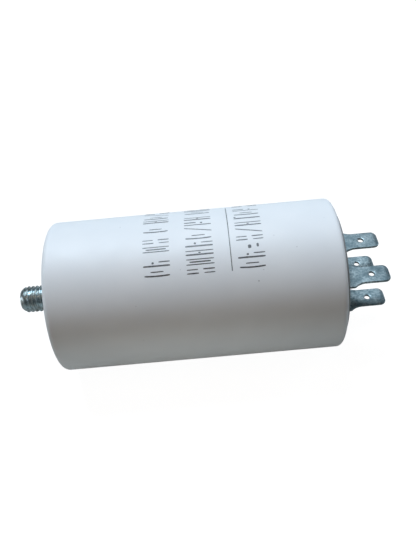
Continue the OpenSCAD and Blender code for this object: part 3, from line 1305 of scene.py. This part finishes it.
@dataclass
class Studio:
    """Pale floor and room, soft window light from above and behind, and the camera."""

    azimuth_deg: float = -0.893
    elevation_deg: float = 47.485
    roll_deg: float = -5.813
    distance: float = 182.74 * MM
    aim_right: float = 3.40 * MM
    aim_up: float = 2.05 * MM
    lens_mm: float = 38.725
    sensor_mm: float = 36.0
    clip_start: float = 5.0 * MM
    floor_size: float = 3.0
    floor_seen: float = 0.97
    floor_shade: Colour = (0.13, 0.13, 0.13)
    floor_bounce: Colour = (0.43, 0.42, 0.39)
    room_seen: Colour = (0.86, 0.88, 0.90)
    room_tint: Colour = (1.0, 0.86, 0.68)
    room_strength: float = 0.008
    panels: tuple[Panel, ...] = (
        Panel("window", angle_deg=113.0, side_deg=-10.0, far=1.2,
              size=(0.45, 0.40), power=14.8, colour=(0.72, 0.865, 1.0)),
        Panel("lamp", angle_deg=70.0, side_deg=-4.0, far=0.20,
              size=(0.08, 0.08), power=0.042, colour=(1.0, 0.68, 0.45)),
        Panel("front_card", angle_deg=-12.0, side_deg=-5.0, far=0.070,
              size=(0.08, 0.012), power=0.0043, colour=(0.97, 1.0, 0.97)),
        Panel("terminal_card", angle_deg=120.0, side_deg=58.0, far=0.5,
              size=(0.20, 0.20), power=0.45, colour=(0.76, 0.87, 1.0)),
        Panel("stud_card", angle_deg=60.0, side_deg=-88.0, far=0.4,
              size=(0.12, 0.12), power=0.22, colour=(0.90, 0.95, 1.0)),
    )

    def can_middle(self) -> Vector:
        """Middle of the can on its axis."""
        low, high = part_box("case")
        return (low + high) / 2

    def floor_finish(self) -> bpy.types.Material:
        """Pale paper: nearly white to look at, and a calm grey to what it lights.

        Returns:
            The floor's material.
        """
        bench = ShaderBench("floor_paper")
        paper = bench.node("ShaderNodeBsdfDiffuse", Color=(*self.floor_shade, 1.0))
        glow = bench.node("ShaderNodeEmission", Color=(1.0, 1.0, 1.0, 1.0), Strength=self.floor_seen)
        shown = bench.tree.nodes.new("ShaderNodeAddShader")
        bench.tree.links.new(paper.outputs["BSDF"], shown.inputs[0])
        bench.tree.links.new(glow.outputs["Emission"], shown.inputs[1])
        under = bench.node("ShaderNodeBsdfDiffuse", Color=(*self.floor_bounce, 1.0))
        path = bench.tree.nodes.new("ShaderNodeLightPath")
        both = bench.tree.nodes.new("ShaderNodeMixShader")
        bench.tree.links.new(path.outputs["Is Camera Ray"], both.inputs[0])
        bench.tree.links.new(under.outputs["BSDF"], both.inputs[1])
        bench.tree.links.new(shown.outputs["Shader"], both.inputs[2])
        bench.tree.links.new(both.outputs["Shader"], bench.output.inputs["Surface"])
        return bench.material

    def lay_floor(self) -> None:
        """Lays the floor under the can."""
        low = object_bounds()[0][2]
        bench = MeshBench()
        half = self.floor_size / 2
        bench.sheet([[Vector((x, y, low)) for x in (-half, half)] for y in (-half, half)])
        floor = bench.piece("floor", self.floor_finish())
        floor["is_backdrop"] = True
        LOG.info("floor: laid at %.1f mm", low / MM)

    def paint_room(self) -> None:
        """Paints the room pale to look at, and nearly dark to what it lights."""
        world = bpy.data.worlds.new("room")
        bpy.context.scene.world = world
        world.use_nodes = True
        tree = world.node_tree
        faint = tree.nodes["Background"]
        faint.inputs["Color"].default_value = (*self.room_tint, 1.0)
        faint.inputs["Strength"].default_value = self.room_strength
        pale = tree.nodes.new("ShaderNodeBackground")
        pale.inputs["Color"].default_value = (*self.room_seen, 1.0)
        both = tree.nodes.new("ShaderNodeMixShader")
        path = tree.nodes.new("ShaderNodeLightPath")
        tree.links.new(path.outputs["Is Camera Ray"], both.inputs[0])
        tree.links.new(faint.outputs["Background"], both.inputs[1])
        tree.links.new(pale.outputs["Background"], both.inputs[2])
        tree.links.new(both.outputs["Shader"], tree.nodes["World Output"].inputs["Surface"])

    def stand_camera(self) -> None:
        """Stands the camera at its angle over the can's front side."""
        heading, tilt = math.radians(self.azimuth_deg), math.radians(self.elevation_deg)
        turn = Euler((math.pi / 2 - tilt, 0.0, -heading)).to_matrix()
        turn = turn @ Matrix.Rotation(math.radians(self.roll_deg), 3, "Z")
        right, up, back = turn.col
        data = bpy.data.cameras.new("camera")
        data.sensor_fit = "AUTO"
        data.sensor_width = self.sensor_mm
        data.lens = self.lens_mm
        data.clip_start = self.clip_start
        camera = bpy.data.objects.new("camera", data)
        place = self.can_middle() + right * self.aim_right + up * self.aim_up + back * self.distance
        camera.matrix_world = Matrix.Translation(place) @ turn.to_4x4()
        bpy.context.scene.collection.objects.link(camera)
        bpy.context.scene.camera = camera
        LOG.info("camera: %.0f mm from the can", self.distance / MM)

    def build(self) -> None:
        """Builds the floor, the room, the lights and the camera."""
        bpy.context.scene.view_settings.view_transform = "Standard"
        self.lay_floor()
        self.paint_room()
        for panel in self.panels:
            panel.hang(self.can_middle())
        self.stand_camera()


# ---------------------------------------------------------------------------
# Sub-assemblies
# ---------------------------------------------------------------------------


@dataclass
class Can:
    """The moulded can with the flash at its mouth and the marks on its side."""

    plastic: Finish = MouldedPlastic("can_plastic", (0.87, 0.87, 0.87), (0.84, 0.845, 0.85), roughness=0.52,
                                     specks=0.4)
    torn: Finish = MouldedPlastic("torn_flash", (0.80, 0.80, 0.78), (0.62, 0.61, 0.60), roughness=0.5)
    ink: Finish = Ink("stamp_ink", (0.045, 0.050, 0.048), (0.27, 0.28, 0.29))
    rule_x: float = 52.0 * MM
    rows: tuple[PrintRow, ...] = (
        PrintRow(foot_x=53.9 * MM, head_x=61.3 * MM, start_deg=55.0, marks=marks(")T-S/=|)L ST=)")),
        PrintRow(foot_x=39.8 * MM, head_x=47.4 * MM, start_deg=53.5, marks=marks("S#=T)/L= )=S#T)")),
        PrintRow(foot_x=28.1 * MM, head_x=35.4 * MM, start_deg=54.5, marks=marks(")T #S ) =)/S=/)")),
    )

    def build(self) -> None:
        """Dresses the can, then adds its flash and its print."""
        dress("case", self.plastic)
        MouthFlash(self.torn).build()
        PrintedMarks(self.ink, self.rows, self.rule_x).build()


@dataclass
class TerminalEnd:
    """The cover with its two riveted twin tabs, and the lugs under them."""

    sides: tuple[str, ...] = ("rear", "front")
    # The cover's grey is partly painted shade: it is darker than the plastic's own colour, so that the
    # cover stays dark under the terminal card.
    cover: Finish = MouldedPlastic("cover_plastic", (0.36, 0.355, 0.35), (0.31, 0.305, 0.30), roughness=0.5)
    tin: Finish = PlatedSheet("tinned_sheet", (0.70, 0.79, 0.79), (0.15, 0.21, 0.23), roughness=0.44)
    rivet: Finish = PlatedSheet("rivet_metal", (0.62, 0.66, 0.66), (0.40, 0.44, 0.45), roughness=0.3)
    lug: Finish = PlainMetal("lug_metal", (0.78, 0.76, 0.66), (0.62, 0.58, 0.46), roughness=0.35,
                             grain_mm=0.8, depth_mm=0.01)
    solder: Finish = PlainMetal("lug_solder", (0.78, 0.80, 0.82), (0.60, 0.62, 0.64), roughness=0.25,
                                grain_mm=1.2, depth_mm=0.03)

    def build(self) -> None:
        """Builds both twin tabs and dresses what holds them."""
        dress("terminal_cover", self.cover)
        for side in self.sides:
            dress(f"{side}_rivet", self.rivet)
            dress(f"{side}_lug", self.lug)
            dress(f"{side}_lug_solder", self.solder)
        for side in self.sides:
            TwinTab(f"{side}_twin_tab", self.tin).build()


@dataclass
class WoundElement:
    """The wound film on its core, with its wrap and its sprayed, soldered ends."""

    ends: tuple[str, ...] = ("top", "base")
    film: Finish = WoundFilm("metallised_film", (0.72, 0.71, 0.68), (0.52, 0.51, 0.48), metallic=0.8)
    wrap: Finish = WoundFilm("wrap_film", (0.88, 0.86, 0.78), (0.80, 0.78, 0.70), metallic=0.0)
    core: Finish = MouldedPlastic("core_plastic", (0.82, 0.82, 0.78), (0.76, 0.76, 0.72))
    spray: Finish = PlainMetal("sprayed_zinc", (0.60, 0.61, 0.62), (0.42, 0.43, 0.44), roughness=0.7,
                               grain_mm=0.25, depth_mm=0.05)
    solder: Finish = PlainMetal("end_solder", (0.78, 0.80, 0.82), (0.60, 0.62, 0.64), roughness=0.25,
                                grain_mm=1.2, depth_mm=0.03)

    def build(self) -> None:
        """Dresses the element's solids."""
        dress("film_winding", self.film)
        dress("outer_wrap", self.wrap)
        dress("core_tube", self.core)
        for end in self.ends:
            dress(f"{end}_end_spray", self.spray)
            dress(f"{end}_end_solder", self.solder)


@dataclass
class Wiring:
    """The two sleeved leads from the element's ends to the lugs."""

    leads: tuple[str, ...] = ("short", "long")
    wire: Finish = PlainMetal("tinned_wire", (0.80, 0.78, 0.74), (0.66, 0.62, 0.56), roughness=0.3,
                              grain_mm=0.4, depth_mm=0.005)
    sleeve: Finish = MouldedPlastic("sleeve_plastic", (0.90, 0.86, 0.72), (0.84, 0.80, 0.66), roughness=0.3)

    def build(self) -> None:
        """Dresses the leads and their sleeves."""
        for lead in self.leads:
            dress(f"{lead}_lead", self.wire)
            dress(f"{lead}_sleeve", self.sleeve)


@dataclass
class BaseEnd:
    """The mounting stud, the disc that insulates its head, and the resin that fills the can."""

    plate: Finish = PlatedSteel("zinc_plate", (0.52, 0.64, 0.68), (0.30, 0.30, 0.27), roughness=0.27)
    disc: Finish = MouldedPlastic("insulator_plastic", (0.88, 0.88, 0.86), (0.82, 0.82, 0.80))
    resin: Finish = MouldedPlastic("potting_resin", (0.42, 0.38, 0.30), (0.34, 0.31, 0.25), roughness=0.25)

    def build(self) -> None:
        """Builds the stud and dresses what lies over its head."""
        ThreadedStud(self.plate).build()
        dress("base_insulator", self.disc)
        dress("potting_resin", self.resin)


def main() -> None:
    """Builds and dresses each sub-assembly in order."""
    logging.basicConfig(level=logging.INFO, format="%(message)s")
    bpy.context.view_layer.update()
    Studio().build()
    for assembly in (Can(), TerminalEnd(), WoundElement(), Wiring(), BaseEnd()):
        assembly.build()
        LOG.info("%s: done", type(assembly).__name__)


if __name__ == "__main__":
    main()
